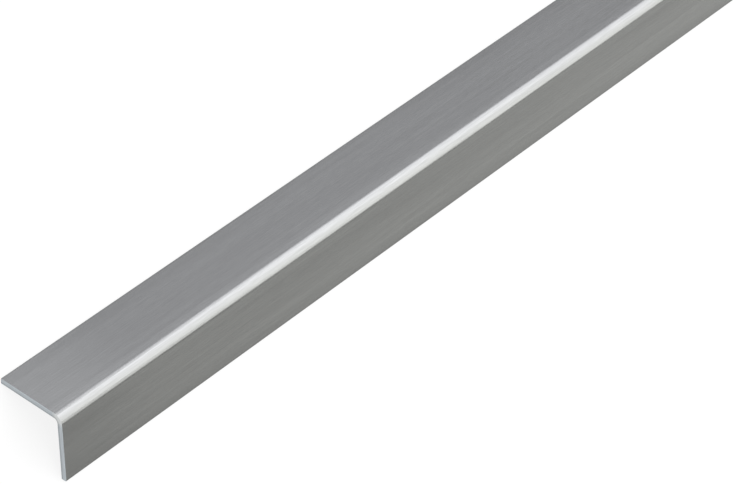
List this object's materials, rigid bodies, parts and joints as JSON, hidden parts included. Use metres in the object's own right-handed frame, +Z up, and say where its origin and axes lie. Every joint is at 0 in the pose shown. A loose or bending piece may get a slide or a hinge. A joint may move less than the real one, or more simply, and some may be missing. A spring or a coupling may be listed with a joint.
{
  "type": "metal angle section",
  "caption": "Straight equal angle of folded brushed stainless sheet, used as an edge guard, corner trim, light bracket or frame stock.",
  "frame": {"origin": "on the floor, under the bend, halfway along the length", "axes": "+Y along the bend, +Z up through the bend, +X across from one leg's edge to the other"},
  "size_m": [0.028, 1, 0.0141],
  "materials": {
    "brushed_stainless": "outer faces brushed lengthwise, inner faces left as rolled, edges sheared and deburred, ends sawn and filed"
  },
  "bodies": {
    "root": {"angle_section": "brushed_stainless"}
  },
  "joints": []
}
